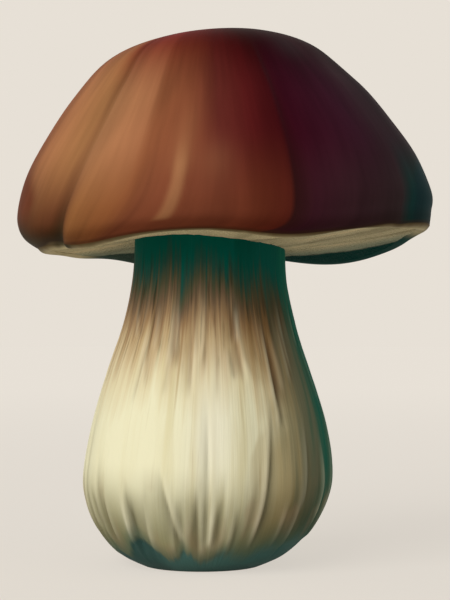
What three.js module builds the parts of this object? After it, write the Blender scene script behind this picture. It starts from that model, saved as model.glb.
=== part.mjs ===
// A porcini mushroom (Boletus edulis), picked and set down on its trimmed foot.
// Millimetres, +Z up. The origin is the middle of the flat foot, and the front faces -Y.
// Cap, pore layer and stem grew as one body of flesh, so they are one closed solid.

import {
  Color, Float32BufferAttribute, Group, MathUtils, Mesh, MeshStandardMaterial,
  SplineCurve, Vector2, Vector3,
} from 'three';
import { ParametricGeometry } from 'three/addons/geometries/ParametricGeometry.js';

// ---- Driving dimensions ----

const FOOT_RADIUS = 14.3;       // the flat cut that the mushroom stands on
const BULB_RADIUS = 29.9;       // the stem's widest ring
const BULB_HEIGHT = 23;
const NECK_RADIUS = 18.2;       // where the stem meets the pore layer
const NECK_HEIGHT = 77.5;
const NECK_SLANT = 1.3;         // the neck's top is that much higher at its left
const SLANT_AT = -65;           // in degrees from the front toward +X
const STEM_SWAY = 1.9;          // how far the stem's middle wanders toward +X on its way up
const SWAY_HEIGHT = 20;         // most of that happens within this height

const CAP_OFFSET = 5.7;         // the cap's middle, off the foot's middle toward +X
const CAP_TILT = MathUtils.degToRad(3.4); // the +X side is raised
const CAP_RADIUS = 49.9;        // the cap's widest ring
const CAP_RISE = 50.6;          // rim to crown
const RIM_HEIGHT = 78.8;        // the edge of the brown skin, rolled in under the widest ring
const RIM_RADIUS = 47.3;
const RIM_SWAY = 1.8;           // the rim is rolled in this much more at -X, and less at +X
const ROLL_BAND = 4.5;          // that difference dies out this far above the rim
const DIP_BAND = 11;            // and the rim's dips die out this far above it
const LIP_DROP = 1.1;           // the pale lip hangs this far below the brown skin
const LIP_WIDTH = 3.4;          // rim to the outer edge of the pores
const PORE_SAG = 0.3;           // how far the pore layer bulges down between lip and stem
const CROWN_SHIFT = 1.3;        // the very top leans toward +X
const CROWN_RADIUS = 24;

const RIB_COUNT = 17;           // long ribs round the stem
const RIB_DEPTH = 0.45;

// Where the rim hangs lower, in degrees from the front toward +X: beside the front, and at the back.
const RIM_DIPS = [
  { at: -45, depth: 0.9, width: 14 },
  { at: 24, depth: 2.5, width: 20 },
  { at: 141, depth: 5.7, width: 30 },
  { at: 200, depth: 2.5, width: 28 },
];

// Radial furrows of the cap: where they run, in degrees from the front toward +X, how deep they
// are in mm, and how wide in degrees.
const FURROWS = [
  { at: -39, depth: 1.3, width: 8 },
  { at: -19, depth: 0.6, width: 7 },
  { at: 23, depth: 1, width: 8 },
  { at: 60, depth: 0.9, width: 12 },
  { at: 104, depth: 1.4, width: 12 },
  { at: 150, depth: 1.1, width: 14 },
  { at: 210, depth: 1.3, width: 12 },
  { at: 250, depth: 1, width: 11 },
];

// Left of the front the furrows swing outward by this many degrees as they come down to the rim.
// The reach is a share of CAP_RISE.
const SWING = { most: 18, reach: 0.22 };

// A shallow hollow in the +X shoulder of the cap. Its height and reach are shares of CAP_RISE.
const HOLLOW = { at: 90, height: 0.82, depth: 1.3, width: 38, reach: 0.13 };

const FULL_TURN = 2 * Math.PI;
const AROUND = 80;              // faces round the axis
const CAP_BROWN = new Color(0x7a4326);
const CAP_MAROON = new Color(0x3a1a18);
const LIP_CREAM = new Color(0x9a8a66);
const PORE_OLIVE = new Color(0x5d5a3c);
const STEM_CREAM = new Color(0xe2dab4);
const COLLAR_START = 0.7;       // of the neck's height
const COLLAR_GREEN = new Color(0x1d3a30);

// ---- Outlines: x is the distance from the axis, y the height ----

const stemOutline = new SplineCurve([
  new Vector2(FOOT_RADIUS, 0),
  new Vector2(0.68 * BULB_RADIUS, 0.12 * BULB_HEIGHT),
  new Vector2(0.87 * BULB_RADIUS, 0.38 * BULB_HEIGHT),
  new Vector2(0.98 * BULB_RADIUS, 0.7 * BULB_HEIGHT),
  new Vector2(BULB_RADIUS, BULB_HEIGHT),
  new Vector2(0.94 * BULB_RADIUS, 1.5 * BULB_HEIGHT),
  new Vector2(1.36 * NECK_RADIUS, 0.6 * NECK_HEIGHT),
  new Vector2(1.15 * NECK_RADIUS, 0.75 * NECK_HEIGHT),
  new Vector2(1.03 * NECK_RADIUS, 0.88 * NECK_HEIGHT),
  new Vector2(NECK_RADIUS, NECK_HEIGHT),
]);

// From the outer edge of the pores, over the lip and the rim, up to the crown.
const LIP_SHARE = 0.2;          // the first two of its ten spans are the lip
const capOutline = new SplineCurve([
  new Vector2(RIM_RADIUS - LIP_WIDTH, -0.6 * LIP_DROP),
  new Vector2(RIM_RADIUS - 0.4 * LIP_WIDTH, -LIP_DROP),
  new Vector2(RIM_RADIUS, 0),
  new Vector2(0.985 * CAP_RADIUS, 0.06 * CAP_RISE),
  new Vector2(CAP_RADIUS, 0.16 * CAP_RISE),
  new Vector2(0.95 * CAP_RADIUS, 0.33 * CAP_RISE),
  new Vector2(0.85 * CAP_RADIUS, 0.5 * CAP_RISE),
  new Vector2(0.7 * CAP_RADIUS, 0.7 * CAP_RISE),
  new Vector2(0.525 * CAP_RADIUS, 0.87 * CAP_RISE),
  new Vector2(0.29 * CAP_RADIUS, 0.96 * CAP_RISE),
  new Vector2(0, CAP_RISE),
]);

// ---- Shapes of the grown surface; angles run from the front toward +X ----

// The shortest way from one angle to another, in degrees.
function turn(from, to) {
  return MathUtils.euclideanModulo(to - from + 180, 360) - 180;
}

// A soft bump that is 1 at 0 and fades out past 1.
function bump(x) {
  return Math.exp(-x * x);
}

function stemSway(height) {
  return STEM_SWAY * (1 - Math.exp(-height / SWAY_HEIGHT));
}

function rimDip(angle) {
  const degrees = MathUtils.radToDeg(angle);
  return RIM_DIPS.reduce((sum, dip) => sum + dip.depth * bump(turn(dip.at, degrees) / dip.width), 0);
}

// How far furrows and hollow press the cap in, at a height from 0, the rim, to 1, the crown.
function pressedIn(angle, height) {
  const degrees = MathUtils.radToDeg(angle);
  const leftward = turn(degrees, 0);
  const swing = SWING.most * Math.exp(-height / SWING.reach)
    * MathUtils.smoothstep(leftward, -10, 45) * (1 - MathUtils.smoothstep(leftward, 70, 110));
  const furrows = FURROWS.reduce((sum, furrow) => (
    sum + furrow.depth * bump(turn(furrow.at, degrees + swing) / furrow.width)
  ), 0);
  const hollow = HOLLOW.depth * bump(turn(HOLLOW.at, degrees) / HOLLOW.width)
    * bump((height - HOLLOW.height) / HOLLOW.reach);
  return furrows * MathUtils.smoothstep(1 - height, 0.05, 0.3) + hollow;
}

// ---- The surface, one function for each stretch of it; t runs from 0 to 1 along the stretch ----

function footPoint(t, angle) {
  const radius = t * FOOT_RADIUS;
  return new Vector3(radius * Math.sin(angle), -radius * Math.cos(angle), 0);
}

function stemPoint(t, angle) {
  const { x: mean, y: height } = stemOutline.getPoint(t);
  const fade = Math.sin(Math.PI * Math.sqrt(height / NECK_HEIGHT));
  const radius = mean + RIB_DEPTH * fade * Math.sin(RIB_COUNT * angle + 2 * Math.sin(3 * angle));
  const slant = NECK_SLANT * Math.cos(angle - MathUtils.degToRad(SLANT_AT));
  return new Vector3(
    stemSway(height) + radius * Math.sin(angle),
    -radius * Math.cos(angle),
    height + slant * MathUtils.smoothstep(height, 0.75 * NECK_HEIGHT, NECK_HEIGHT),
  );
}

function capPoint(t, angle) {
  const { x: mean, y: height } = capOutline.getPoint(t);
  const roll = RIM_SWAY * (1 - MathUtils.clamp(height / ROLL_BAND, 0, 1)) ** 2;
  const dip = rimDip(angle) * (1 - MathUtils.smoothstep(height, 0, DIP_BAND));
  const radius = Math.max(0, mean + roll * Math.sin(angle)
    - pressedIn(angle, MathUtils.clamp(height / CAP_RISE, 0, 1)));
  const shift = CROWN_SHIFT * (1 - MathUtils.smoothstep(mean, 0, CROWN_RADIUS));
  const point = new Vector3(
    radius * Math.sin(angle) + shift, -radius * Math.cos(angle), height - dip,
  );
  point.applyAxisAngle(new Vector3(0, 1, 0), -CAP_TILT);
  return point.add(new Vector3(CAP_OFFSET, 0, RIM_HEIGHT));
}

// The pore layer spans from the top of the stem to the inside of the lip, and sags between them.
function porePoint(t, angle) {
  const point = stemPoint(1, angle).lerp(capPoint(0, angle), t);
  point.z -= PORE_SAG * 4 * t * (1 - t);
  return point;
}

function lipPoint(t, angle) {
  return capPoint(t * LIP_SHARE, angle);
}

function skinPoint(t, angle) {
  return capPoint(MathUtils.lerp(LIP_SHARE, 1, t), angle);
}

// ---- Colours of the surface; the flesh inside is all one piece ----

function stemColour({ z }) {
  const collar = MathUtils.smoothstep(z, COLLAR_START * NECK_HEIGHT, NECK_HEIGHT);
  return STEM_CREAM.clone().lerp(COLLAR_GREEN, collar);
}

function skinColour({ x }) {
  return CAP_BROWN.clone().lerp(CAP_MAROON, MathUtils.smoothstep(x, 0, CAP_RADIUS));
}

// ---- The solid: the stretches follow each other from the foot's middle to the crown ----

const STRETCHES = [
  { rows: 2, at: footPoint, colour: stemColour },
  { rows: 22, at: stemPoint, colour: stemColour },
  { rows: 5, at: porePoint, colour: () => PORE_OLIVE },
  { rows: 5, at: lipPoint, colour: () => LIP_CREAM },
  { rows: 21, at: skinPoint, colour: skinColour },
];
const ROWS = STRETCHES.reduce((sum, { rows }) => sum + rows, 0);

// The place and the colour of the surface at a row, which may lie between two whole ones.
function surfaceAt(row, angle) {
  let left = row;
  for (const { rows, at, colour } of STRETCHES) {
    if (left <= rows) {
      const place = at(left / rows, angle);
      return { place, colour: colour(place) };
    }
    left -= rows;
  }
  return surfaceAt(ROWS, angle);
}

function buildMushroom() {
  const geometry = new ParametricGeometry(
    (u, v, target) => target.copy(surfaceAt(v * ROWS, u * FULL_TURN).place), AROUND, ROWS,
  );
  const colours = [];
  for (let row = 0; row <= ROWS; row += 1) {
    for (let column = 0; column <= AROUND; column += 1) {
      colours.push(...surfaceAt(row, column / AROUND * FULL_TURN).colour.toArray());
    }
  }
  geometry.setAttribute('color', new Float32BufferAttribute(colours, 3));
  const surface = new MeshStandardMaterial({ vertexColors: true, roughness: 0.6, metalness: 0 });
  const mesh = new Mesh(geometry, surface);
  mesh.name = 'mushroom';
  return mesh;
}

const porcini = new Group();
porcini.add(buildMushroom());

export default porcini;
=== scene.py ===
# A porcini mushroom, picked and standing on its trimmed foot: a tan to maroon cap with broad,
# soft-edged panels, a pale lip and a spongy underside, on a fat cream stem with a bulb.
# Sizes are in millimetres, and MM turns them into the scene's metres. Angles are in degrees round
# the upright axis, from the front, which is -Y, toward +X.

import math

import bpy
import numpy as np
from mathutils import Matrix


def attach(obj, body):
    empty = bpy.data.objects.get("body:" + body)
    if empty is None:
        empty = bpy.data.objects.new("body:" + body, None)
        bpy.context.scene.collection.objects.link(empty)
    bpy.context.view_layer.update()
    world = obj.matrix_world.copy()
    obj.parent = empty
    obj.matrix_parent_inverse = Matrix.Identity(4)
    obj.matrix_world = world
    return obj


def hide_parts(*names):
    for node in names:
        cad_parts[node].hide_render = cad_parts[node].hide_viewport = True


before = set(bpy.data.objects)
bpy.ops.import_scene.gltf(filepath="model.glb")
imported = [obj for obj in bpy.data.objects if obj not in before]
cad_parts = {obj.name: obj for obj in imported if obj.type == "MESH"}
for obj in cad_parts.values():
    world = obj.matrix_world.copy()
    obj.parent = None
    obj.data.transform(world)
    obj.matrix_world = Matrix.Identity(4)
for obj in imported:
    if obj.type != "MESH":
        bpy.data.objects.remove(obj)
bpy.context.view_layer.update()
MM = 0.001

# ---- The stem ----
# A fat stalk of firm white flesh, grown up from the soil, with a bulb at its foot that was
# trimmed flat. Its skin is cream, dry and ribbed along its length, with painted shade in dark
# green on its collar under the cap, on the side away from the lamp and round the foot.

FOOT_RADIUS = 14.3
BULB_RADIUS, BULB_HEIGHT = 29.9, 23
NECK_RADIUS, NECK_HEIGHT = 18.2, 77.5
NECK_SLANT, SLANT_AT = 2.0, -60
STEM_TOP = 81.0
STEM_SWAY, SWAY_HEIGHT = 1.9, 20
STEM_OUTLINE = [
    (FOOT_RADIUS, 0),
    (0.68 * BULB_RADIUS, 0.12 * BULB_HEIGHT),
    (0.87 * BULB_RADIUS, 0.38 * BULB_HEIGHT),
    (0.98 * BULB_RADIUS, 0.7 * BULB_HEIGHT),
    (BULB_RADIUS, BULB_HEIGHT),
    (0.94 * BULB_RADIUS, 1.5 * BULB_HEIGHT),
    (1.36 * NECK_RADIUS, 0.6 * NECK_HEIGHT),
    (1.15 * NECK_RADIUS, 0.75 * NECK_HEIGHT),
    (1.03 * NECK_RADIUS, 0.88 * NECK_HEIGHT),
    (NECK_RADIUS, NECK_HEIGHT),
    (NECK_RADIUS, STEM_TOP),
]
STEM_COLUMNS, STEM_ROWS = 420, 215
# The radii of the mesh's rings on the flat cut and on the top, which is hidden in the cap.
FOOT_RINGS = np.linspace(1, FOOT_RADIUS - 0.6, 8)
TOP_RINGS = (14, 9, 4, 1)
LOBE_DEPTH, FOOT_HOLLOW = 0.2, 0.4
# A fold's steep side is this wide, and the skin swells at this distance beside it.
STEEP_WIDTH = 0.5
RIDGE_OFF, RIDGE_WIDTH, RIDGE_SHARE = 1.3, 0.8, 0.35
SKIN_RELIEF = 0.3
# The side away from the lamp, where shade is painted, and the heights where that side is slimmer.
SHADE_SIDE_AT = 95
SLIM_AT, SLIM_DEPTH, SLIM_WIDTH, SLIM_REACH = 90, 0.45, 40, 9
SLIM_HEIGHTS = (13, 50)
# Folds of the skin in front: the degrees and mm up of the upper end and of the lower end, the
# depth, and the width of the soft side in mm, which is negative if that side is on the left.
FOLDS = [
    (-59, 30, -55, 7, 0.35, 1.4),
    (-39, 22, -37, 6, 1.0, 1.8),
    (-22, 26, -13, 8, 0.6, -2.0),
    (-11, 19, -11, 5, 0.4, -0.9),
    (-5, 23, -3, 5, 0.5, -2.2),
    (-1, 44, 1, 9, 0.4, -0.8),
    (7, 19, 5, 7, 0.5, 1.4),
    (15, 17, 15, 5, 0.5, 1.2),
    (33, 42, 27, 9, 0.7, 1.5),
    (38, 48, 38, 35, 0.4, 2.2),
    (54, 37, 52, 16, 0.45, 1.8),
    (-23, 68, -20, 49, 0.45, 1.6),
    (-56, 64, -49, 55, 0.3, 1.4),
    (-39, 58, -35, 44, 0.25, 0.8),
    (13, 66, 19, 46, 0.4, -2.0),
    (37, 60, 37, 40, 0.6, 2.0),
]
# The skin ends at this height over the foot, and its tongues end further up or down: the degrees,
# mm up and the width in degrees.
FOOT_EDGE = 3.6
TONGUES = [(-36, 4.2, 12), (14, 1.3, 11), (-11, 1.7, 2), (-18, -1, 4)]
# The collar's painted shade, under the cap, begins at the first height and is complete near
# the second one, each with the streaks' mean of 14.5 added.
COLLAR_SHADE_FROM, COLLAR_SHADE_TO = 51.3, 92.9


def smooth(value, low, high):
    """Rises softly from 0 at low to 1 at high."""
    part = np.clip((value - low) / (high - low), 0, 1)
    return part * part * (3 - 2 * part)


def bump(value):
    """Is 1 at 0 and fades out past 1 and -1."""
    return np.exp(-value * value)


def turn(angle, at):
    """The shortest turn from one angle to another."""
    return (angle - at + 180) % 360 - 180


def along(points, share):
    """Follows a smooth curve through the points, each span an equal share of 0 to 1."""
    points = np.array(points, float)
    spans = len(points) - 1
    start = np.minimum((share * spans).astype(int), spans - 1)
    part = (share * spans - start)[..., None]
    before, here, there, after = (points[np.clip(start + k, 0, spans)] for k in (-1, 0, 1, 2))
    leave, arrive = (there - before) / 2, (after - here) / 2
    return (
        (2 * here - 2 * there + leave + arrive) * part**3
        + (3 * there - 3 * here - 2 * leave - arrive) * part**2
        + leave * part
        + here
    )


def wander(angle, waves, seed):
    """A value that wanders about 0 round the axis and meets itself after a full turn."""
    chance = np.random.default_rng(seed)
    total = np.zeros_like(angle)
    for count in waves:
        total += chance.normal() * np.cos(np.radians(count * angle) + chance.uniform(0, 2 * np.pi))
    return total / math.sqrt(len(waves))


def ring_points(radius, angle, height, middle=0.0):
    """Places points round the upright axis."""
    turned = np.radians(angle)
    height = np.broadcast_to(height, turned.shape)
    return np.stack([middle + radius * np.sin(turned), -radius * np.cos(turned), height], -1)


def closed_skin(name, rings, fields):
    """Makes a closed mesh from rings of points, stacked from one pole up to the other.

    Each field is a number or a vector for every point of the rings, kept for the material.
    """
    rows, columns = rings.shape[:2]
    ends = [rings[0].mean(0), rings[-1].mean(0)]
    points = np.concatenate([rings.reshape(-1, 3), ends])
    here = np.arange(columns)
    there = (here + 1) % columns
    faces = []
    for row in range(rows - 1):
        low, high = row * columns, (row + 1) * columns
        faces += np.stack([low + here, low + there, high + there, high + here], -1).tolist()
    bottom, top = rows * columns, rows * columns + 1
    last = (rows - 1) * columns
    sides = np.stack([here, there], -1).tolist()
    faces += [(bottom, end, start) for start, end in sides]
    faces += [(top, last + start, last + end) for start, end in sides]
    mesh = bpy.data.meshes.new(name)
    mesh.from_pydata((points * MM).tolist(), [], faces)
    for field, values in fields.items():
        width = values.shape[2] if values.ndim == 3 else 1
        values = values.reshape(rows, columns, width)
        ends = [values[0].mean(0), values[-1].mean(0)]
        values = np.concatenate([values.reshape(-1, width), ends])
        kind, key = ("FLOAT", "value") if width == 1 else ("FLOAT_VECTOR", "vector")
        mesh.attributes.new(field, kind, "POINT").data.foreach_set(key, values.ravel())
    mesh.shade_smooth()
    piece = bpy.data.objects.new(name, mesh)
    bpy.context.collection.objects.link(piece)
    return piece


def linear(colour):
    """Turns an sRGB hex colour into the linear one that shaders use."""
    parts = np.array([int(colour[at : at + 2], 16) / 255 for at in (1, 3, 5)])
    parts = np.where(parts <= 0.04045, parts / 12.92, ((parts + 0.055) / 1.055) ** 2.4)
    return [*parts.tolist(), 1]


def add(tree, kind, settings, inputs, out=None):
    """Adds a node with its settings and its links, and gives back one output.

    Inputs are given by name or in their order, as links, values or hex colours.
    """
    made = tree.nodes.new(kind)
    for name, value in settings.items():
        if name == "stops":
            ramp = made.color_ramp.elements
            for place, colour in value[1:-1]:
                ramp.new(place)
            for stop, (place, colour) in zip(ramp, value):
                stop.position, stop.color = place, linear(colour)
        else:
            setattr(made, name, value)
    sockets = [socket for socket in made.inputs if socket.enabled]
    if isinstance(inputs, dict):
        sockets = [next(socket for socket in sockets if socket.name == name) for name in inputs]
        inputs = inputs.values()
    for socket, value in zip(sockets, inputs):
        if isinstance(value, bpy.types.NodeSocket):
            tree.links.new(value, socket)
        elif isinstance(value, str) and value.startswith("#"):
            socket.default_value = linear(value)
        else:
            socket.default_value = value
    ends = [socket for socket in made.outputs if socket.enabled and out in (None, socket.name)]
    return ends[0]


# Settings that recur. A step takes a value and two ends, and rises softly from 0 to 1 while the
# value goes from one end to the other. Two more inputs are what it goes from and to instead, and
# where the last one is another step, the two are multiplied. A mix takes the share of its last
# colour, then the colour under it, and then that last colour.
STEP = {"interpolation_type": "SMOOTHSTEP"}
PLUS, MINUS = {"operation": "ADD"}, {"operation": "SUBTRACT"}
TIMES, TIMES_PLUS = {"operation": "MULTIPLY"}, {"operation": "MULTIPLY_ADD"}
OVER = {"data_type": "RGBA", "blend_type": "MIX"}
DARKEN = {"data_type": "RGBA", "blend_type": "MULTIPLY"}


def new_material(name, roughness, gloss):
    """Starts a material, and gives back the material, its node tree and its surface shader."""
    made = bpy.data.materials.new(name)
    made.use_nodes = True
    shader = made.node_tree.nodes["Principled BSDF"]
    shader.inputs["Roughness"].default_value = roughness
    shader.inputs["Specular IOR Level"].default_value = gloss
    return made, made.node_tree, shader


def streaks(tree, flow_at, across, length, seed):
    """Noise drawn out along the growth, in mm across and along."""
    scale = (1 / across, 1 / across, 1 / length)
    stretched = add(
        tree,
        "ShaderNodeMapping",
        {},
        {"Vector": flow_at, "Location": (seed, seed, seed), "Scale": scale},
    )
    return add(tree, "ShaderNodeTexNoise", {}, {"Vector": stretched, "Scale": 1, "Detail": 2})


share, angle = np.meshgrid(
    np.linspace(0, 1, STEM_ROWS), np.arange(STEM_COLUMNS) * 360 / STEM_COLUMNS, indexing="ij"
)
mean, height = np.moveaxis(along(STEM_OUTLINE, share), -1, 0)
# Behind, the folds lie about as closely as in front, each with its own ends and lean.
chance = np.random.default_rng(4)
folds = list(FOLDS)
for at in range(64, 296, 11):
    low, high = chance.uniform(5, 12), chance.uniform(18, 46)
    at, lean = at + chance.uniform(-4, 4), chance.uniform(-5, 5)
    soft = chance.uniform(0.8, 2.4) * chance.choice([-1, 1])
    folds.append((at + lean, high, at, low, chance.uniform(0.3, 0.8), soft))
# Small ones lie all round, low on the bulb and high on the neck.
for low, high in ((4, 15), (6, 22), (42, 57), (50, 66)):
    for at in range(0, 360, 17):
        at, start = at + chance.uniform(-8, 8), low + chance.uniform(-2, 4)
        soft = chance.uniform(0.5, 1.6) * chance.choice([-1, 1])
        end = high + chance.uniform(-4, 6)
        folds.append((at + chance.uniform(-3, 3), end, at, start, chance.uniform(0.1, 0.4), soft))
# A fold is steep on one side, where the skin swells beside it, and runs out softly on the other.
# It is deepest in its lower half and fades out upward.
groove, ridge = np.zeros_like(angle), np.zeros_like(angle)
for upper_at, high, lower_at, low, depth, soft in folds:
    part = (height - low) / (high - low)
    middle = lower_at + (upper_at - lower_at) * np.clip(part, 0, 1)
    off = math.radians(BULB_RADIUS) * turn(angle, middle) * math.copysign(1, soft)
    there = smooth(part, -0.12, 0.15) * (1 - smooth(part, 0.45, 1.05)) * depth
    groove += there * np.where(off < 0, bump(off / STEEP_WIDTH), np.exp(-np.abs(off / soft)))
    ridge += there * bump((off + RIDGE_OFF) / RIDGE_WIDTH)
# Low lobes swell round the bulb.
lobes = wander(angle, range(7, 17), 3) * smooth(height, 1, 9) * (1 - smooth(height, 18, 46))
around = turn(angle, 0)
# The side where shade is painted is a little slimmer low on the bulb and on the neck, and its
# folds are shallower.
slim = sum(bump((height - at) / SLIM_REACH) for at in SLIM_HEIGHTS)
slim = SLIM_DEPTH * slim * bump((around - SLIM_AT) / SLIM_WIDTH)
groove *= 1 - 0.75 * bump((around - 84) / 18) * (1 - smooth(height, 25, 40))
# The skin ends in tongues over the foot, which is painted darker as shade and slightly hollower.
foot_edge = FOOT_EDGE + sum(up * bump((around - at) / width) for at, up, width in TONGUES)
foot_edge += 3 * smooth(around, 27, 46) + 0.5 * wander(angle, range(5, 17), 7)
foot = 1 - smooth(height - foot_edge, -0.8, 0.8)
radius = (
    mean
    - slim
    + LOBE_DEPTH * lobes
    - groove
    + RIDGE_SHARE * ridge
    - FOOT_HOLLOW * foot * smooth(height, 0, 1.5)
)
slant = NECK_SLANT * np.cos(np.radians(angle - SLANT_AT))
sway = STEM_SWAY * (1 - np.exp(-height / SWAY_HEIGHT))
side_rings = ring_points(
    radius, angle, height + slant * smooth(height, 0.75 * NECK_HEIGHT, NECK_HEIGHT), sway
)
foot_rings = [ring_points(away, angle[:1], 0.0) for away in FOOT_RINGS]
top = side_rings[-1:, :, 2].mean()
top_rings = [ring_points(away, angle[:1], top, sway[-1:]) for away in TOP_RINGS]
stem_rings = np.concatenate([*foot_rings, side_rings, *top_rings])


def padded(values, before, after):
    """Carries a field of a piece's side on over the rings before and after it."""
    return np.concatenate(
        [np.repeat(values[:1], before, 0), values, np.repeat(values[-1:], after, 0)]
    )


turned = np.radians(angle)
flow = np.stack([BULB_RADIUS * np.cos(turned), BULB_RADIUS * np.sin(turned), height], -1)
# How far round a point lies toward the side where shade is painted: 0 is the front, and on that
# side itself it equals the side's angle.
damp = SHADE_SIDE_AT - np.abs(turn(angle, SHADE_SIDE_AT))
# How much further down the collar's painted shade hangs, in mm: more at both sides, and less at
# one spot.
droop = 0.8 * smooth(-around, 20, 60) + 3 * smooth(around, 16, 50)
droop -= 2.2 * bump((around + 28) / 6)
stem_fields = {
    "flow": flow,
    "groove": groove,
    "ridge": ridge,
    "damp": damp,
    "droop": droop,
    "over_foot": height - foot_edge,
    "white": bump((around - 2) / 10) * bump((height - 33) / 12),
    "cut": 1 - smooth(height, 0, 0.3),
}
stem = closed_skin(
    "stem",
    stem_rings,
    {name: padded(field, len(foot_rings), len(top_rings)) for name, field in stem_fields.items()},
)

# Dry skin of upright fibres: the eye gets a matt cream with soft bands, 3 to 8 mm wide, and fine
# streaks and a faint relief along the growth. The real fibres are about 0.3 mm wide, too fine to
# show, so the finest streaks are three times as wide.
stem_skin, tree, surface = new_material("dry_fibrous_stem_skin", roughness=0.65, gloss=0.03)
flow_at = add(tree, "ShaderNodeAttribute", {"attribute_name": "flow"}, {}, "Vector")
up = add(tree, "ShaderNodeSeparateXYZ", {}, {"Vector": flow_at}, "Z")
mark = {
    name: add(tree, "ShaderNodeAttribute", {"attribute_name": name}, {}, "Fac")
    for name in stem_fields
    if name != "flow"
}
wide = streaks(tree, flow_at, 8, 40, 3)
middling = streaks(tree, flow_at, 2.6, 24, 7)
thin = streaks(tree, flow_at, 0.9, 26, 1)
# Painted shade under the cap runs down the collar in streaks, from dark green through brown into
# the cream.
collar_shade = add(tree, "ShaderNodeMath", PLUS, (up, mark["droop"]))
for streak, reach in ((wide, 7), (middling, 11), (thin, 11)):
    collar_shade = add(tree, "ShaderNodeMath", TIMES_PLUS, (streak, reach, collar_shade))
collar_shade = add(tree, "ShaderNodeMapRange", {}, (collar_shade, COLLAR_SHADE_FROM, COLLAR_SHADE_TO))
skin_colour = add(
    tree,
    "ShaderNodeValToRGB",
    {
        "stops": [
            (0.0, "#e9e4c0"),
            (0.19, "#dfd3ab"),
            (0.33, "#cdb890"),
            (0.43, "#c0a67c"),
            (0.53, "#a3845f"),
            (0.64, "#755f48"),
            (0.72, "#53543d"),
            (0.8, "#2b5347"),
            (0.9, "#006054"),
        ]
    },
    {"Fac": collar_shade},
)
in_collar_shade = add(tree, "ShaderNodeMapRange", STEP, (collar_shade, 0.5, 0.72))
below = add(tree, "ShaderNodeMath", MINUS, (1, in_collar_shade))
# Soft bands of a deeper cream, and a few thin brown fibres, show below the collar, and less so on
# the sunny side of the bulb, which leaves a smooth painted highlight there.
calm = add(tree, "ShaderNodeMapRange", STEP, (mark["damp"], -16, -30))
calm = add(tree, "ShaderNodeMapRange", STEP, (up, 52, 40, 0, calm))
calm = add(tree, "ShaderNodeMath", TIMES_PLUS, (calm, -0.7, 1))
calm = add(tree, "ShaderNodeMath", TIMES, (below, calm))
bands = streaks(tree, flow_at, 3.4, 40, 9)
bands = add(tree, "ShaderNodeMapRange", STEP, (bands, 0.5, 0.72, 0, 0.4))
bands = add(tree, "ShaderNodeMath", TIMES, (bands, calm))
fibres = streaks(tree, flow_at, 1.3, 32, 5)
fibres = add(tree, "ShaderNodeMapRange", STEP, (fibres, 0.62, 0.78, 0, 0.5))
calm_fibres = add(tree, "ShaderNodeMath", TIMES, (fibres, calm))
# Where the collar ends, short darker dashes run on down.
dashes = streaks(tree, flow_at, 1.5, 14, 21)
dashes = add(tree, "ShaderNodeMapRange", STEP, (dashes, 0.54, 0.66, 0, 0.5))
dashes = add(tree, "ShaderNodeMapRange", STEP, (up, 45, 55, 0, dashes))
dashes = add(tree, "ShaderNodeMapRange", STEP, (up, 76, 66, 0, dashes))
# A painted highlight lies pale on the front of the stem.
front_highlight = add(tree, "ShaderNodeMath", TIMES, (mark["white"], 0.5))
# Painted shade on the side away from the lamp: it goes from tan, which starts further round
# half-way up, through olive to dark green, which reaches further round near the foot.
later = add(tree, "ShaderNodeMapRange", STEP, (up, 27, 36))
later = add(tree, "ShaderNodeMapRange", STEP, (up, 52, 42, 0, later))
tan_shade_side = add(tree, "ShaderNodeMath", MINUS, (mark["damp"], 4))
tan_shade_side = add(tree, "ShaderNodeMath", TIMES_PLUS, (middling, 8, tan_shade_side))
tan_shade_side = add(tree, "ShaderNodeMath", TIMES_PLUS, (later, -9, tan_shade_side))
tan_shade_from = add(tree, "ShaderNodeMapRange", STEP, (tan_shade_side, 17, 22, 0, 0.5))
tan_shade = add(tree, "ShaderNodeMapRange", STEP, (tan_shade_side, 22, 36, 0, 0.5))
tan_shade = add(tree, "ShaderNodeMath", PLUS, (tan_shade_from, tan_shade))
shaded_side = add(tree, "ShaderNodeMath", TIMES_PLUS, (middling, 22, mark["damp"]))
shaded_side = add(tree, "ShaderNodeMath", TIMES_PLUS, (wide, 18, shaded_side))
shaded_side = add(tree, "ShaderNodeMath", MINUS, (shaded_side, 20))
olive_shade = add(tree, "ShaderNodeMapRange", STEP, (shaded_side, 34, 56, 0, below))
olive_shade = add(tree, "ShaderNodeMath", TIMES, (olive_shade, 0.85))
# On the side away from the lamp the collar's painted shade is olive, and bluer green higher up.
bluer_collar_shade = add(tree, "ShaderNodeMapRange", STEP, (mark["damp"], 12, 42, 0, in_collar_shade))
bluer_collar_shade = add(tree, "ShaderNodeMath", TIMES, (bluer_collar_shade, 0.6))
shaded_collar_colour = add(tree, "ShaderNodeMapRange", STEP, (collar_shade, 0.66, 0.9))
shaded_collar_colour = add(tree, "ShaderNodeMix", OVER, (shaded_collar_colour, "#565842", "#0e6a60"))
green_shade = add(tree, "ShaderNodeMapRange", STEP, (up, 25, 12, 0, 7))
green_shade = add(tree, "ShaderNodeMath", PLUS, (shaded_side, green_shade))
green_shade = add(tree, "ShaderNodeMapRange", STEP, (green_shade, 56, 76))
# Toward the foot the skin is painted greyer and darker as shade, the more so on its left side,
# with tan patches of its own.
low_shade = add(tree, "ShaderNodeMapRange", STEP, (up, 27, 6))
far = add(tree, "ShaderNodeMapRange", STEP, (mark["damp"], -32, -58, 0, low_shade))
patches = streaks(tree, flow_at, 6, 12, 13)
patches = add(tree, "ShaderNodeMapRange", STEP, (patches, 0.48, 0.66))
patched = add(tree, "ShaderNodeMapRange", STEP, (up, 26, 14, 0, 0.45))
patches = add(tree, "ShaderNodeMath", TIMES, (patches, patched))
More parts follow.
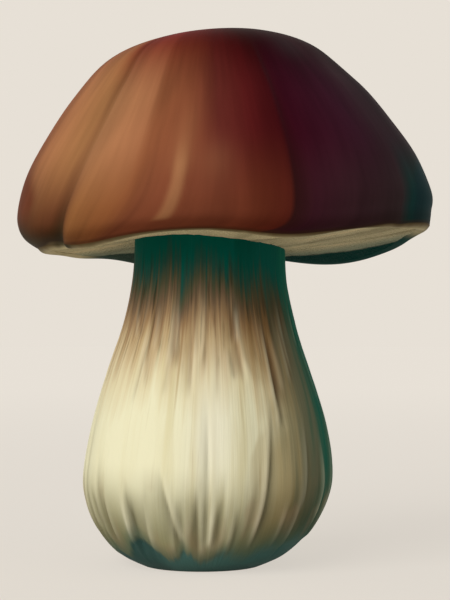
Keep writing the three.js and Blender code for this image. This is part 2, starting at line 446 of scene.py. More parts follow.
# Painted shade sits in the folds, dark green near the cap, and a painted highlight lies on the
# ridge beside each fold.
fold_shade = add(tree, "ShaderNodeMapRange", STEP, (up, 32, 48))
fold_shade = add(tree, "ShaderNodeMix", OVER, (fold_shade, "#6e694e", "#6a4c32"))
near_cap = add(tree, "ShaderNodeMapRange", STEP, (up, 57, 66))
fold_shade = add(tree, "ShaderNodeMix", OVER, (near_cap, fold_shade, "#24382c"))
fold_shade_share = add(tree, "ShaderNodeMath", TIMES, (mark["groove"], 1.1))
ridge_highlight = add(tree, "ShaderNodeMix", OVER, (near_cap, "#e9e3c4", "#5d8672"))
ridge_highlight_share = add(tree, "ShaderNodeMath", TIMES, (mark["ridge"], 0.5))
# Just above the foot, and low on both flanks, painted shade darkens the skin to green.
near_foot_shade = add(tree, "ShaderNodeMapRange", STEP, (mark["over_foot"], 4.5, 0, 0, 0.8))
flank_shade = add(tree, "ShaderNodeMapRange", STEP, (mark["damp"], -28, -50, 0, 0.5))
shaded_flank = add(tree, "ShaderNodeMapRange", STEP, (mark["damp"], 5, 28))
flank_shade = add(tree, "ShaderNodeMath", PLUS, (flank_shade, shaded_flank))
low_flank_shade = add(tree, "ShaderNodeMapRange", STEP, (mark["over_foot"], 9, 1, 0, 0.6))
low_flank_shade = add(tree, "ShaderNodeMath", TIMES, (flank_shade, low_flank_shade))
# Thin pale streaks show in the dark collar.
pale = add(tree, "ShaderNodeMapRange", STEP, (fibres, 0.1, 0.4))
pale_up = add(tree, "ShaderNodeMapRange", STEP, (up, 58, 66, 0, 0.3))
pale = add(tree, "ShaderNodeMath", TIMES, (pale, pale_up))
# The foot is painted dark green as shade, and its edge runs along the ends of the tongues.
edge = add(tree, "ShaderNodeMath", MINUS, (mark["over_foot"], 2.5))
edge = add(tree, "ShaderNodeMath", TIMES_PLUS, (middling, 5, edge))
ragged = add(tree, "ShaderNodeMapRange", STEP, (mark["damp"], -16, 16, 1, 0.4))
edge = add(tree, "ShaderNodeMath", TIMES, (edge, ragged))
on_foot_shade = add(tree, "ShaderNodeMapRange", STEP, (edge, 1, -0.8, 0, 0.92))
foot_shade_colour = add(tree, "ShaderNodeMapRange", STEP, (mark["damp"], -18, -34))
foot_shade_colour = add(tree, "ShaderNodeMix", OVER, (foot_shade_colour, "#446b66", "#2e4d4a"))
# The flat cut shows the flesh, a little browned in blotches about 7 mm wide.
place = add(tree, "ShaderNodeTexCoord", {}, {}, "Object")
browned = add(tree, "ShaderNodeTexNoise", {}, {"Vector": place, "Scale": 0.15 / MM, "Detail": 3})
browned = add(tree, "ShaderNodeMapRange", STEP, (browned, 0.4, 0.7))
flesh = add(tree, "ShaderNodeMix", OVER, (browned, "#d2c8a8", "#a58d68"))
on_cut = add(tree, "ShaderNodeMapRange", STEP, (mark["cut"], 0.8, 1))
# The coats of colour, in the order in which they lie on the skin.
for coat, share, colour in (
    (DARKEN, bands, "#dccfa8"),
    (DARKEN, calm_fibres, "#c0a67c"),
    (DARKEN, dashes, "#8a8060"),
    (OVER, front_highlight, "#f6f1dd"),
    (DARKEN, tan_shade, "#cabca6"),
    (OVER, olive_shade, "#69715a"),
    (OVER, bluer_collar_shade, shaded_collar_colour),
    (OVER, green_shade, "#006652"),
    (DARKEN, low_shade, "#a1a08e"),
    (DARKEN, far, "#cac7b8"),
    (OVER, patches, "#a08768"),
    (OVER, fold_shade_share, fold_shade),
    (OVER, ridge_highlight_share, ridge_highlight),
    (OVER, near_foot_shade, "#5a6854"),
    (OVER, low_flank_shade, "#486352"),
    (OVER, pale, "#4f8f82"),
    (OVER, on_foot_shade, foot_shade_colour),
    (OVER, on_cut, flesh),
):
    skin_colour = add(tree, "ShaderNodeMix", coat, (share, skin_colour, colour))
tree.links.new(skin_colour, surface.inputs["Base Color"])
relief = {"Strength": 0.35, "Distance": SKIN_RELIEF * MM, "Height": thin}
relief = add(tree, "ShaderNodeBump", {}, relief)
tree.links.new(relief, surface.inputs["Normal"])
stem.data.materials.append(stem_skin)
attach(stem, "root")
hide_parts("mushroom")

# ---- The cap ----
# A dome of white flesh under a smooth, slightly greasy skin that dries to satin. It grew in broad
# panels with soft furrows between them, and its edge is rolled in over a pale lip.

CAP_OFFSET, CAP_TILT = 5.7, math.radians(3.4)
CAP_RADIUS, CAP_RISE = 49.9, 50.6
RIM_HEIGHT, RIM_RADIUS, RIM_SWAY = 78.8, 47.3, 1.8
ROLL_BAND, DIP_BAND = 4.5, 11
LIP_DROP, LIP_WIDTH = 1.1, 3.4
CROWN_SHIFT, CROWN_RADIUS = 1.3, 24
# The cap's mesh is closed inside by a ceiling this far above the rim, over the sponge.
CEILING, CEILING_RINGS = 2.6, (1, 8, 16, 24, 32, 38, 42)
# The first two of the outline's ten spans are the lip.
LIP_SHARE = 0.2
# Where the rim hangs lower, or higher if it is negative: the angle, the depth, and the width in
# degrees.
RIM_DIPS = [
    (-45, 0.9, 14),
    (-16, -0.65, 22),
    (17.5, 2.1, 15.5),
    (109, 0.6, 12),
    (141, 5.7, 30),
    (205, 3.2, 15),
    (236, 0.7, 14),
]
CAP_OUTLINE = [
    (RIM_RADIUS - LIP_WIDTH, -0.6 * LIP_DROP),
    (RIM_RADIUS - 0.4 * LIP_WIDTH, -LIP_DROP),
    (RIM_RADIUS, 0),
    (0.985 * CAP_RADIUS, 0.06 * CAP_RISE),
    (CAP_RADIUS, 0.16 * CAP_RISE),
    (0.95 * CAP_RADIUS, 0.33 * CAP_RISE),
    (0.85 * CAP_RADIUS, 0.5 * CAP_RISE),
    (0.7 * CAP_RADIUS, 0.7 * CAP_RISE),
    (0.525 * CAP_RADIUS, 0.87 * CAP_RISE),
    (0.29 * CAP_RADIUS, 0.96 * CAP_RISE),
    (0, CAP_RISE),
]
# Furrows: the angle half-way up the cap, the depth, and the width in degrees.
FURROWS = [
    (-39, 0.9, 8),
    (-19, 0.6, 7),
    (23, 0.8, 8),
    (60, 0.9, 12),
    (104, 1.4, 12),
    (150, 1.1, 14),
    (210, 1.3, 12),
    (250, 1.0, 11),
]
# Near the rim the panels of the sunny side swing outward by this many degrees.
SWING, SWING_REACH = 18, 0.22
# The side away from the lamp is a little hollow, or full if it is negative: the rise, the depth,
# and the reach.
HOLLOW_AT, HOLLOW_WIDTH = 90, 38
HOLLOWS = [(0.82, 1.3, 0.13), (0.5, 0.5, 0.2), (0.09, -0.6, 0.1)]
# A sharp crease between two panels, its width in degrees.
CREASE_AT, CREASE_DEPTH, CREASE_WIDTH = -38.5, 0.5, 1.5
# One panel's proud edge: the angle, the step, and the degrees in which the step ends on one side
# and runs out on the other. Its lower corner turns back by some degrees, close to the rim.
FOLD_AT, FOLD_STEP, FOLD_WIDTH, FOLD_RUN = 17.2, 0.7, 1.3, 10
CORNER_TURN, CORNER_REACH, CORNER_WIDTH = 12, 1.4, 14
CAP_COLUMNS, CAP_ROWS, LIP_ROWS = 440, 200, 24


def rim_dip(angle):
    """How far the rim hangs below its mean height."""
    return sum(depth * bump(turn(angle, at) / width) for at, depth, width in RIM_DIPS)


def lip_fullness(angle):
    """How far the lip hangs, as a share of its mean: it is thinner in front."""
    return 1 - 0.55 * bump(turn(angle, -8) / 30)


def cap_points(radius, angle, height):
    """Places points of the cap: its middle is off the stem's, and it is tilted."""
    height = np.where(height < 0, height * lip_fullness(angle), height)
    dip = rim_dip(angle) * (1 - smooth(height, 0, DIP_BAND))
    roll = RIM_SWAY * (1 - np.clip(height / ROLL_BAND, 0, 1)) ** 2 * np.sin(np.radians(angle))
    shift = CROWN_SHIFT * (1 - smooth(radius, 0, CROWN_RADIUS))
    x, y, z = np.moveaxis(ring_points(radius + roll, angle, height - dip, shift), -1, 0)
    across = x * math.cos(CAP_TILT) - z * math.sin(CAP_TILT)
    above = z * math.cos(CAP_TILT) + x * math.sin(CAP_TILT)
    return np.stack([across + CAP_OFFSET, y, above + RIM_HEIGHT], -1)


def pressed_in(angle, rise):
    """The angle across the panels, the crease's share, and how far the cap is pressed in.

    The rise goes from 0 at the rim to 1 at the crown.
    """
    leftward = -turn(angle, 0)
    swing = SWING * smooth(leftward, -10, 45) * (1 - smooth(leftward, 70, 110))
    panel = angle + swing * (np.exp(-rise / SWING_REACH) + 0.25 * np.exp(-rise / 0.03))
    crease_width = CREASE_WIDTH + 3 * np.exp(-rise / 0.08)
    crease = bump(turn(panel, CREASE_AT) / crease_width) * smooth(1 - rise, 0.05, 0.3)
    press = sum(depth * bump(turn(panel, at) / width) for at, depth, width in FURROWS)
    press = press * smooth(1 - rise, 0.05, 0.3)
    press += CREASE_DEPTH * (1 + 2.5 * np.exp(-rise / 0.15)) * crease
    hollow = sum(depth * bump((rise - at) / reach) for at, depth, reach in HOLLOWS)
    press += hollow * bump(turn(angle, HOLLOW_AT) / HOLLOW_WIDTH)
    return panel, crease, press


share, angle = np.meshgrid(
    np.concatenate(
        [
            np.linspace(0, LIP_SHARE, LIP_ROWS, endpoint=False),
            np.linspace(LIP_SHARE, 0.995, CAP_ROWS - LIP_ROWS),
        ]
    ),
    np.arange(CAP_COLUMNS) * 360 / CAP_COLUMNS,
    indexing="ij",
)
mean, height = np.moveaxis(along(CAP_OUTLINE, share), -1, 0)
rise = np.clip(height / CAP_RISE, 0, 1)
# How far up the skin a point lies, in mm along it; the lip is below 0.
steps = np.diff(mean[:, 0], prepend=mean[0, 0]), np.diff(height[:, 0], prepend=height[0, 0])
skin_mm = np.cumsum(np.hypot(*steps))
skin_mm = np.repeat((skin_mm - skin_mm[LIP_ROWS])[:, None], CAP_COLUMNS, 1)
panel, crease, press = pressed_in(angle, rise)
# One panel's edge stands proud of the next one, and its lower corner is rounded.
corner = CORNER_TURN * np.exp(-np.maximum(skin_mm, 0) / CORNER_REACH)
past_fold = turn(panel, FOLD_AT) + corner
fold = np.where(past_fold < 0, np.exp(past_fold / FOLD_RUN), bump(past_fold / FOLD_WIDTH))
fold = fold * smooth(1 - rise, 0.1, 0.35) * smooth(skin_mm, 1, 5)
radius = np.maximum(mean - press + FOLD_STEP * fold, 0.1)
cap_side = cap_points(radius, angle, height)
ceiling_rings = [
    cap_points(np.full_like(angle[:1], away), angle[:1], np.full_like(angle[:1], CEILING))
    for away in CEILING_RINGS
]
turned = np.radians(panel + corner * bump(turn(panel, FOLD_AT) / CORNER_WIDTH))
flow = np.stack([RIM_RADIUS * np.cos(turned), RIM_RADIUS * np.sin(turned), skin_mm], -1)
# Marks of the skin. Near the front a pale streak runs up from the rim, and beside it lies a
# faint painted highlight.
off_streak = np.abs(turn(panel, -9.1 + 0.9 * smooth(rise, 0.35, 0.55))) / (1 + rise)
pale = 1 - smooth(off_streak, 0.3, 1.9)
pale = pale * smooth(rise, 0.03, 0.05) * (1 - smooth(rise, 0.22, 0.45))
pale += 0.35 * bump(off_streak / 2.2) * smooth(rise, 0.2, 0.3) * (1 - smooth(rise, 0.4, 0.65))
pale += 0.25 * bump(turn(panel, -1) / 4) * bump((rise - 0.29) / 0.09)
# The side away from the lamp has slate painted shade, and a grey painted highlight on its
# shoulder.
past_shade_edge = turn(panel, 57) - 30 * smooth(rise, 0.12, 0.5)
past_shade_edge += 3 * wander(panel, range(9, 30), 5)
stain = smooth(past_shade_edge, 0, 8) * (1 - smooth(turn(panel, 130), -35, 25))
stain = stain * (1 - smooth(rise + 0.03 * wander(panel, range(5, 20), 6), 0.24, 0.5))
bloom = bump(turn(panel, 37) / 8) * bump((rise - 0.83) / 0.07)
# The outermost panel of the sunny side has a rust blush, and dark olive painted shade along its
# rim.
off_blush = -turn(panel, 0) - 54 - 10 * smooth(rise, 0.2, 0.4)
blush = smooth(off_blush, -2.5, 2.5 + 12 * smooth(rise, 0.15, 0.4))
blush = blush * smooth(turn(panel, -112), 0, 36) * smooth(rise, 0.05, 0.2)
blush = blush * (1 - smooth(rise + 0.06 * wander(panel, range(11, 40), 9), 0.34, 0.7))
shade = smooth(-turn(panel, -33), 0, 5) * smooth(turn(panel, -115), 0, 25)
shade = shade * bump(rise / (0.055 + 0.05 * smooth(-turn(panel, -62), 0, 20)))
# The pale lip reaches further up the edge on the outermost panel and less far in front.
lip_lift = 1.1 * bump(turn(angle, -61) / 6) + 0.4 * bump(turn(angle, 75) / 9)
lip_lift -= 0.4 * bump(turn(angle, 56) / 4) + 1.3 * bump(turn(angle, 37) / 11)
lip_lift -= 0.4 * bump(turn(angle, -20) / 20)
cap_fields = {
    "flow": flow,
    "skin": skin_mm - lip_lift,
    "rise": rise,
    "crease": crease * (0.08 + 0.92 * np.exp(-((rise / 0.15) ** 2))),
    "pale": pale,
    "stain": stain,
    "bloom": bloom,
    "shade": shade,
    "blush": blush,
    "notch": bump(turn(angle, -54) / 3.5),
    "back": smooth(np.abs(turn(angle, 165)), 78, 62),
}
cap = closed_skin(
    "cap",
    np.concatenate([*ceiling_rings, cap_side]),
    {name: padded(field, len(ceiling_rings), 0) for name, field in cap_fields.items()},
)


def round_stops(stops):
    """Turns stops at angles in degrees into stops along a radial gradient, which starts behind."""
    return [(at / 360 + 0.5, colour) for at, colour in stops]


# Smooth skin, dried to satin: the eye gets warm browns that turn softly from panel to panel, with
# strokes 1 to 16 mm wide that run from the rim to the crown, and hardly any gloss.
cap_skin, tree, surface = new_material("satin_cap_skin", roughness=0.5, gloss=0.01)
flow_at = add(tree, "ShaderNodeAttribute", {"attribute_name": "flow"}, {}, "Vector")
mark = {
    name: add(tree, "ShaderNodeAttribute", {"attribute_name": name}, {}, "Fac")
    for name in cap_fields
    if name != "flow"
}
wide = streaks(tree, flow_at, 16, 50, 3)
middling = streaks(tree, flow_at, 5, 30, 5)
thin = streaks(tree, flow_at, 1.2, 14, 8)
side = add(tree, "ShaderNodeTexGradient", {"gradient_type": "RADIAL"}, {"Vector": flow_at}, "Fac")
# Round the cap its own colour goes from tan to maroon, with painted light and shade in it: the
# panels toward the lamp are lighter, and those turned away darker, purpler and greyer.
body = add(
    tree,
    "ShaderNodeValToRGB",
    {
        "stops": round_stops(
            [
                (-180, "#54302a"),
                (-110, "#7c4832"),
                (-70, "#8c5636"),
                (-55, "#a56f48"),
                (-41.5, "#a06f45"),
                (-39.6, "#93633f"),
                (-38.3, "#9a6a43"),
                (-37.0, "#ad7850"),
                (-21.5, "#9c6644"),
                (-19, "#865033"),
                (-8, "#7b432c"),
                (0, "#622922"),
                (9, "#551818"),
                (16.8, "#420e12"),
                (17.6, "#3f0f17"),
                (22, "#380b19"),
                (42, "#3a1827"),
                (70, "#2c1c24"),
                (120, "#32262a"),
                (180, "#54302a"),
            ]
        )
    },
    {"Fac": side},
)
# Toward the rim the skin is rust in front and brown behind, and painted shade makes it umber on
# the outermost panel and dark green on the side away from the lamp.
rim = add(
    tree,
    "ShaderNodeValToRGB",
    {
        "stops": round_stops(
            [
                (-180, "#4c3026"),
                (-62, "#3a2412"),
                (-48, "#603821"),
                (-38, "#653823"),
                (-33, "#8a5a33"),
                (-21, "#85502e"),
                (-16, "#76412a"),
                (0, "#703a27"),
                (9, "#68301f"),
                (16.8, "#64281d"),
                (17.6, "#42201f"),
                (24, "#3b1a23"),
                (55, "#3d2e30"),
                (61, "#0b3f3b"),
                (70, "#003e38"),
                (120, "#142f33"),
                (180, "#4c3026"),
            ]
        )
    },
    {"Fac": side},
)
near_rim = add(tree, "ShaderNodeMapRange", STEP, (mark["rise"], 0.45, 0.06))
cap_colour = add(tree, "ShaderNodeMix", OVER, (near_rim, body, rim))
# The crown is a deeper red, mostly in front, and less far down on the outermost panel.
outer = add(tree, "ShaderNodeMapRange", STEP, (side, 0.39, 0.36, 0, 0.14))
outer = add(tree, "ShaderNodeMapRange", STEP, (side, 0.02, 0.22, 0, outer))
crown = add(tree, "ShaderNodeMath", MINUS, (mark["rise"], outer))
crown = add(tree, "ShaderNodeMapRange", STEP, (crown, 0.58, 1))
from_front = add(tree, "ShaderNodeMath", MINUS, (side, 0.5))
from_front = add(tree, "ShaderNodeMath", {"operation": "ABSOLUTE"}, (from_front,))
in_front = add(tree, "ShaderNodeMapRange", STEP, (from_front, 0.24, 0.42, 1, 0.35))
crown = add(tree, "ShaderNodeMath", TIMES, (crown, in_front))
cap_colour = add(tree, "ShaderNodeMix", DARKEN, (crown, cap_colour, "#a51a4a"))
# The skin's marks lie over that: its own rust blush and pale streak, and painted light and
# shade: olive shade along the rim, slate shade on the side away from the lamp, a grey highlight
# on the shoulder, a faint highlight beside the streak and dark shade in the crease.
for name, strength, colour in (
    ("blush", 0.9, "#62301b"),
    ("shade", 0.8, "#33300f"),
    ("pale", 0.6, "#a0704a"),
    ("stain", 0.9, "#0d3338"),
    ("bloom", 0.8, "#38262a"),
    ("crease", 0.85, "#37301d"),
):
    share = add(tree, "ShaderNodeMath", TIMES, (mark[name], strength))
    cap_colour = add(tree, "ShaderNodeMix", OVER, (share, cap_colour, colour))
at_top = add(tree, "ShaderNodeMapRange", STEP, (mark["rise"], 0.972, 0.996))
cap_colour = add(tree, "ShaderNodeMix", OVER, (at_top, cap_colour, "#421519"))
# The skin's growth leaves soft darker and lighter strokes from the rim to the crown.
strokes = add(tree, "ShaderNodeMath", TIMES, (wide, 0.7))
strokes = add(tree, "ShaderNodeMath", TIMES_PLUS, (middling, 0.5, strokes))
strokes = add(tree, "ShaderNodeMath", TIMES_PLUS, (thin, 0.16, strokes))
strokes = add(tree, "ShaderNodeMapRange", STEP, (strokes, 0.45, 0.91, 0.8, 1.2))
cap_colour = add(tree, "ShaderNodeVectorMath", {"operation": "SCALE"}, (cap_colour, strokes))
# The lip is shadowed brown where the skin ends and pale where the sponge begins.
lip_edge = add(tree, "ShaderNodeMath", TIMES_PLUS, (middling, 1.2, mark["skin"]))
browner = add(tree, "ShaderNodeMapRange", STEP, (lip_edge, -2.2, 0.4))
lip_fans = add(tree, "ShaderNodeMath", TIMES_PLUS, (wide, 2, middling))
lip_fans = add(tree, "ShaderNodeMapRange", STEP, (lip_fans, 1.55, 1.9, 0, 0.35))
# Where the crease meets the lip, under a panel's rounded corner, painted shadow darkens the lip.
notch = add(tree, "ShaderNodeMapRange", STEP, (mark["crease"], 0.2, 0.8, 0, 0.7))
notch = add(tree, "ShaderNodeMath", {"operation": "MAXIMUM"}, (mark["notch"], notch))
notch = add(tree, "ShaderNodeMapRange", STEP, (lip_edge, -1.9, -0.3, 0, notch))
# At the back the lip is painted dark green as shade, with painted light making it greyer toward
# the sunny side.
lighter_toward_lamp = add(tree, "ShaderNodeMapRange", STEP, (side, 0.6, 0.4))
lighter_toward_lamp = add(tree, "ShaderNodeMapRange", STEP, (side, 0, 0.05, 0, lighter_toward_lamp))
lip_back_shade = add(tree, "ShaderNodeMix", OVER, (lighter_toward_lamp, "#063f38", "#35493f"))
lip_colour = add(tree, "ShaderNodeMix", OVER, (browner, "#c9bb92", "#5a4a30"))
lip_colour = add(tree, "ShaderNodeMix", OVER, (lip_fans, lip_colour, "#6a6142"))
lip_colour = add(tree, "ShaderNodeMix", OVER, (notch, lip_colour, "#332c17"))
lip_colour = add(tree, "ShaderNodeMix", OVER, (mark["back"], lip_colour, lip_back_shade))
# Painted shade darkens the skin a little on the roll just above the rim.
roll_shade = add(tree, "ShaderNodeMapRange", STEP, (mark["skin"], 5, 1.5))
cap_colour = add(tree, "ShaderNodeMix", DARKEN, (roll_shade, cap_colour, "#ddd6d0"))
# A dark line of painted shadow runs along the skin's edge, over the lip.
edge = add(tree, "ShaderNodeMapRange", STEP, (mark["skin"], 1.1, 0.2, 0, 0.5))
cap_colour = add(tree, "ShaderNodeMix", OVER, (edge, cap_colour, "#33200f"))
on_lip = add(tree, "ShaderNodeMapRange", STEP, (mark["skin"], 0.1, -0.4))
cap_colour = add(tree, "ShaderNodeMix", OVER, (on_lip, cap_colour, lip_colour))
tree.links.new(cap_colour, surface.inputs["Base Color"])
relief = {"Strength": 0.1, "Distance": SKIN_RELIEF * MM, "Height": thin}
relief = add(tree, "ShaderNodeBump", {}, relief)
tree.links.new(relief, surface.inputs["Normal"])
cap.data.materials.append(cap_skin)
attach(cap, "root")
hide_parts("mushroom")

# ---- The pore layer ----
# The sponge under the cap: fine upright tubes of pale flesh, grown side by side, whose open
# mouths face down. It is let in between the lip and the stem. Real tubes are a third to half a
# millimetre apart, too fine to show, so these are coarser.

PORE_PITCH, PORE_DEPTH, PORE_WALL = 1.15, 0.9, 0.3
UNEVENNESS, TUBE_TAPER, MERGE = 0.22, 0.7, 0.001
PORE_SAG = 0.3
SPONGE_THICKNESS = 2.6
# How far the sheet runs on into the stem and into the lip.
STEM_OVERLAP, LIP_OVERLAP = 2.1, 1.4
# The sheet's middle is the stem's at the first distance, and the cap's at the second.
MIDDLE_FROM, MIDDLE_TO = 18, 44
SHEET_REACH = 52


def sponge_height(x, y):
    """The height of the sponge's lower face, and whether a point lies in its sheet."""
    middle = smooth(np.hypot(x, y), MIDDLE_FROM, MIDDLE_TO)
    middle = STEM_SWAY + (CAP_OFFSET - STEM_SWAY) * middle
    angle = np.degrees(np.arctan2(x - middle, -y))
    away = np.hypot(x - middle, y)
    outer = RIM_RADIUS - LIP_WIDTH + RIM_SWAY * np.sin(np.radians(angle))
    outer = outer - pressed_in(angle, 0 * angle)[2]
    share = (away - NECK_RADIUS) / (outer - NECK_RADIUS)
    neck = NECK_HEIGHT + NECK_SLANT * np.cos(np.radians(angle - SLANT_AT))
    lip = RIM_HEIGHT - 0.6 * LIP_DROP * lip_fullness(angle) - rim_dip(angle)
    lip += math.sin(CAP_TILT) * outer * np.sin(np.radians(angle))
    height = neck + (lip - neck) * share - PORE_SAG * 4 * share * (1 - share)
    inside = (away > NECK_RADIUS - STEM_OVERLAP) & (away < outer + LIP_OVERLAP)
    return height, inside


# The sheet is a net of equal triangles, its rows one behind the other.
row_gap = PORE_PITCH * math.sqrt(3) / 2
reach = int(SHEET_REACH / row_gap)
column, row = np.meshgrid(np.arange(-reach - 5, reach + 6), np.arange(-reach, reach + 1))
x = (column + 0.5 * (row % 2)) * PORE_PITCH + CAP_OFFSET
y = row * row_gap
z, inside = sponge_height(x, y)
number = np.where(inside, np.cumsum(inside).reshape(inside.shape) - 1, -1)
points = np.stack([x, y, z], -1)[inside]
triangles = []
for at in range(len(row) - 1):
    near, near_next = number[at, :-1], number[at, 1:]
    far, far_next = number[at + 1, :-1], number[at + 1, 1:]
    if row[at, 0] % 2 == 0:
        pair = (near, far, near_next), (near_next, far, far_next)
    else:
        pair = (near, far, far_next), (near, far_next, near_next)
    for corners in pair:
        found = np.stack(corners, -1)
        triangles += found[(found >= 0).all(-1)].tolist()
sheet = bpy.data.meshes.new("sponge_sheet")
sheet.from_pydata((points * MM).tolist(), [], triangles)
pore_layer = bpy.data.objects.new("pore_layer", sheet)
bpy.context.collection.objects.link(pore_layer)

# Moist, matt flesh: the eye gets a pale cream with soft fans, and painted shade: a little darker
# in each tube, and grey and then dark green toward the back.
sponge, tree, surface = new_material("pale_sponge", roughness=0.8, gloss=0.03)
pit_at = add(tree, "ShaderNodeAttribute", {"attribute_name": "pit"}, {}, "Fac")
place = add(tree, "ShaderNodeTexCoord", {}, {}, "Object")
across = add(tree, "ShaderNodeSeparateXYZ", {}, {"Vector": place}, "X")
back = add(tree, "ShaderNodeSeparateXYZ", {}, {"Vector": place}, "Y")
back = add(tree, "ShaderNodeMath", TIMES_PLUS, (across, 0.17, back))
# Soft fans spread from the stem out to the lip.
middle_of_cap = (CAP_OFFSET * MM, 0, RIM_HEIGHT * MM)
outward = add(tree, "ShaderNodeVectorMath", {"operation": "SUBTRACT"}, (place, middle_of_cap))
outward = add(tree, "ShaderNodeVectorMath", {"operation": "NORMALIZE"}, (outward,))
fans = add(tree, "ShaderNodeTexNoise", {}, {"Vector": outward, "Scale": 5, "Detail": 2})
dark_fans = add(tree, "ShaderNodeMapRange", STEP, (fans, 0.5, 0.32, 0, 0.7))
pale_fans = add(tree, "ShaderNodeMapRange", STEP, (fans, 0.52, 0.72))
# Toward the back the sponge is painted grey and then dark green as shade, bluer on the right.
greyer_back_shade = add(tree, "ShaderNodeMapRange", STEP, (back, 6 * MM, 19 * MM, 0, 0.6))
darkest_back_shade = add(tree, "ShaderNodeMapRange", STEP, (back, 19 * MM, 22.5 * MM))
sponge_back_shade = add(tree, "ShaderNodeMapRange", STEP, (across, -24 * MM, 4 * MM))
sponge_back_shade = add(tree, "ShaderNodeMix", OVER, (sponge_back_shade, "#3c5044", "#063f38"))
# Each tube is painted a little darker inside, as shade.
sponge_colour = add(tree, "ShaderNodeMix", OVER, (pit_at, "#ddd2ac", "#c8bb94"))
for share, colour in (
    (dark_fans, "#a39877"),
    (pale_fans, "#e6d6ae"),
    (greyer_back_shade, "#7f9484"),
    (darkest_back_shade, sponge_back_shade),
):
    sponge_colour = add(tree, "ShaderNodeMix", OVER, (share, sponge_colour, colour))
tree.links.new(sponge_colour, surface.inputs["Base Color"])

pores = bpy.data.node_groups.new("pores", "GeometryNodeTree")
pores.interface.new_socket("Geometry", in_out="INPUT", socket_type="NodeSocketGeometry")
pores.interface.new_socket("Geometry", in_out="OUTPUT", socket_type="NodeSocketGeometry")
sizes = {}
for name, value in (
    ("Mouth share", 1 - PORE_WALL / PORE_PITCH),
    ("Tube depth", PORE_DEPTH * MM),
    ("Sponge thickness", SPONGE_THICKNESS * MM),
    ("Unevenness", UNEVENNESS * PORE_PITCH * MM),
):
    made = pores.interface.new_socket(name, in_out="INPUT", socket_type="NodeSocketFloat")
    sizes[made.identifier] = value
given = add(pores, "NodeGroupInput", {}, {}).node.outputs
# Each vertex of the sheet is the middle of a tube, and is moved a little at random.
uneven = add(pores, "ShaderNodeVectorMath", {"operation": "SCALE"},
             {"Vector": (1, 1, 0.6), "Scale": given["Unevenness"]})
least = add(pores, "ShaderNodeVectorMath", {"operation": "SCALE"}, {"Vector": uneven, "Scale": -1})
nudge = add(pores, "FunctionNodeRandomValue", {"data_type": "FLOAT_VECTOR"},
            {"Min": least, "Max": uneven, "Seed": 11})
uneven_sheet = add(pores, "GeometryNodeSetPosition", {},
                   {"Geometry": given["Geometry"], "Offset": nudge})
# The dual mesh has one cell for each tube. In every cell a mouth is drawn in from the wall, and
# then it is pushed up as a tube that gets narrower.
cells = add(pores, "GeometryNodeDualMesh", {}, {"Mesh": uneven_sheet})
walls = add(pores, "GeometryNodeExtrudeMesh", {}, {"Mesh": cells, "Offset Scale": 0}).node.outputs
mouths = add(pores, "GeometryNodeScaleElements", {},
             {"Geometry": walls["Mesh"], "Selection": walls["Top"], "Scale": given["Mouth share"]})
up_tube = add(pores, "ShaderNodeCombineXYZ", {}, {"Z": given["Tube depth"]})
tubes = add(pores, "GeometryNodeExtrudeMesh", {},
            {"Mesh": mouths, "Selection": walls["Top"], "Offset": up_tube, "Offset Scale": 1})
tubes = tubes.node.outputs
narrow = add(pores, "GeometryNodeScaleElements", {},
             {"Geometry": tubes["Mesh"], "Selection": tubes["Top"], "Scale": TUBE_TAPER})
in_pit = add(pores, "FunctionNodeBooleanMath", {"operation": "OR"}, (tubes["Top"], tubes["Side"]))
marked = add(pores, "GeometryNodeStoreNamedAttribute", {"data_type": "FLOAT", "domain": "FACE"},
             {"Geometry": narrow, "Name": "pit", "Value": in_pit})
# The same cells, pushed up in one slab, close the sponge behind and at its edges.
up_slab = add(pores, "ShaderNodeCombineXYZ", {}, {"Z": given["Sponge thickness"]})
slab = add(pores, "GeometryNodeExtrudeMesh", {},
           {"Mesh": cells, "Offset": up_slab, "Offset Scale": 1, "Individual": False})
slab = add(pores, "GeometryNodeFlipFaces", {}, {"Mesh": slab})
both = add(pores, "GeometryNodeJoinGeometry", {}, {"Geometry": slab})
pores.links.new(marked, both.node.inputs["Geometry"])
whole = add(pores, "GeometryNodeMergeByDistance", {}, {"Geometry": both, "Distance": MERGE * MM})
real = add(pores, "GeometryNodeRealizeInstances", {}, {"Geometry": whole})
clad = add(pores, "GeometryNodeSetMaterial", {}, {"Geometry": real, "Material": sponge})
pores.links.new(clad, pores.nodes.new("NodeGroupOutput").inputs["Geometry"])
# The tree runs once, and its result becomes a plain mesh.
growth = pore_layer.modifiers.new("pores", "NODES")
growth.node_group = pores
for identifier, value in sizes.items():
    growth[identifier] = value
grown = bpy.data.meshes.new_from_object(
    pore_layer.evaluated_get(bpy.context.evaluated_depsgraph_get())
)
pore_layer.modifiers.clear()
pore_layer.data = grown
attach(pore_layer, "root")
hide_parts("mushroom")

# ---- The studio ----
# A wide, pale floor that runs out to a horizon of its own colour, one soft lamp from the front
# left above, and an even, weak light from all round.

PAPER = "#e7e0d6"
FLOOR_RADIUS = 4000
# The floor's own glow, which grows toward the horizon until it meets the backdrop's colour, and
# its share, which leaves the rest to the object's soft shadow.
GLOW_NEAR, GLOW_FAR, GLOW_REACH, GLOW_SHARE = 1.04, 1.13, 1200, 0.75
FILL_STRENGTH = 0.3
# The lamp's place, in degrees round from the front and up, and how wide it looks from the object.
KEY_SIDE, KEY_HEIGHT = -38, 27
KEY_STRENGTH, KEY_WIDTH = 0.72, 50


def seen_directly(tree):
    """Is 1 for rays from the camera, reflections and glass, and 0 for the light's own rays."""
    ray = add(tree, "ShaderNodeLightPath", {}, {}).node.outputs
    either = {"operation": "MAXIMUM"}
    seen = add(tree, "ShaderNodeMath", either, (ray["Is Camera Ray"], ray["Is Glossy Ray"]))
    return add(tree, "ShaderNodeMath", either, (seen, ray["Is Transmission Ray"]))


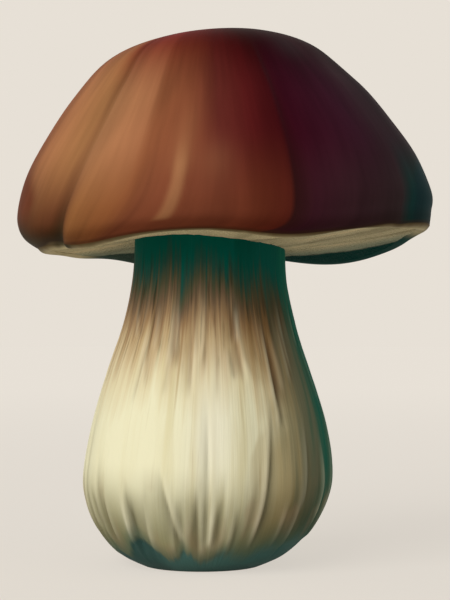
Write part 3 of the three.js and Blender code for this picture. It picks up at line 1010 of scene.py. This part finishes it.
floor_mesh = bpy.data.meshes.new("floor")
ring = np.radians(np.arange(0, 360, 6))
edge_points = FLOOR_RADIUS * MM * np.stack([np.cos(ring), np.sin(ring), 0 * ring], -1)
floor_mesh.from_pydata(edge_points.tolist(), [], [list(range(len(ring)))])
floor = bpy.data.objects.new("floor", floor_mesh)
bpy.context.collection.objects.link(floor)
# Matt paper: an even, pale ground that takes only the object's shadow.
paper = bpy.data.materials.new("matt_paper")
paper.use_nodes = True
tree = paper.node_tree
tree.nodes.remove(tree.nodes["Principled BSDF"])
lit = add(tree, "ShaderNodeBsdfDiffuse", {}, {"Color": PAPER})
place = add(tree, "ShaderNodeTexCoord", {}, {}, "Object")
away = add(tree, "ShaderNodeVectorMath", {"operation": "LENGTH"}, (place,))
strength = (away, GLOW_REACH * MM, 0, GLOW_FAR, GLOW_NEAR)
strength = add(tree, "ShaderNodeMapRange", STEP, strength)
glow = add(tree, "ShaderNodeEmission", {}, {"Color": PAPER, "Strength": strength})
shown = add(tree, "ShaderNodeMixShader", {}, (GLOW_SHARE, lit, glow))
look = add(tree, "ShaderNodeMixShader", {}, (seen_directly(tree), lit, shown))
tree.links.new(look, tree.nodes["Material Output"].inputs["Surface"])
floor.data.materials.append(paper)

world = bpy.data.worlds.new("studio")
bpy.context.scene.world = world
world.use_nodes = True
tree = world.node_tree
backdrop = add(tree, "ShaderNodeBackground", {}, {"Color": PAPER, "Strength": 1})
fill = add(tree, "ShaderNodeBackground", {}, {"Color": "#ffffff", "Strength": FILL_STRENGTH})
look = add(tree, "ShaderNodeMixShader", {}, (seen_directly(tree), fill, backdrop))
tree.links.new(look, tree.nodes["World Output"].inputs["Surface"])

key = bpy.data.objects.new("key", bpy.data.lights.new("key", "SUN"))
key.data.energy = KEY_STRENGTH * math.pi
key.data.angle = math.radians(KEY_WIDTH)
key.rotation_euler = (math.radians(90 - KEY_HEIGHT), 0, math.radians(KEY_SIDE))
bpy.context.collection.objects.link(key)

# ---- The camera ----
# It looks from a little below the edge of the cap, so that the underside just shows. The frame's
# height is what it takes in where the mushroom stands.

FRAME_HEIGHT, FRAME_MIDDLE, FRAME_SIDE = 145.6, 63.8, 5.5
EYE_HEIGHT, EYE_DISTANCE = 58, 420
camera = bpy.data.objects.new("camera", bpy.data.cameras.new("camera"))
camera.data.lens = camera.data.sensor_width * EYE_DISTANCE / FRAME_HEIGHT
camera.data.clip_start, camera.data.clip_end = 0.01, 20
camera.location = (FRAME_SIDE * MM, -EYE_DISTANCE * MM, EYE_HEIGHT * MM)
look_up = math.atan2(FRAME_MIDDLE - EYE_HEIGHT, EYE_DISTANCE)
camera.rotation_euler = (math.radians(90) + look_up, 0, 0)
bpy.context.collection.objects.link(camera)
bpy.context.scene.camera = camera
bpy.context.scene.view_settings.view_transform = "Standard"
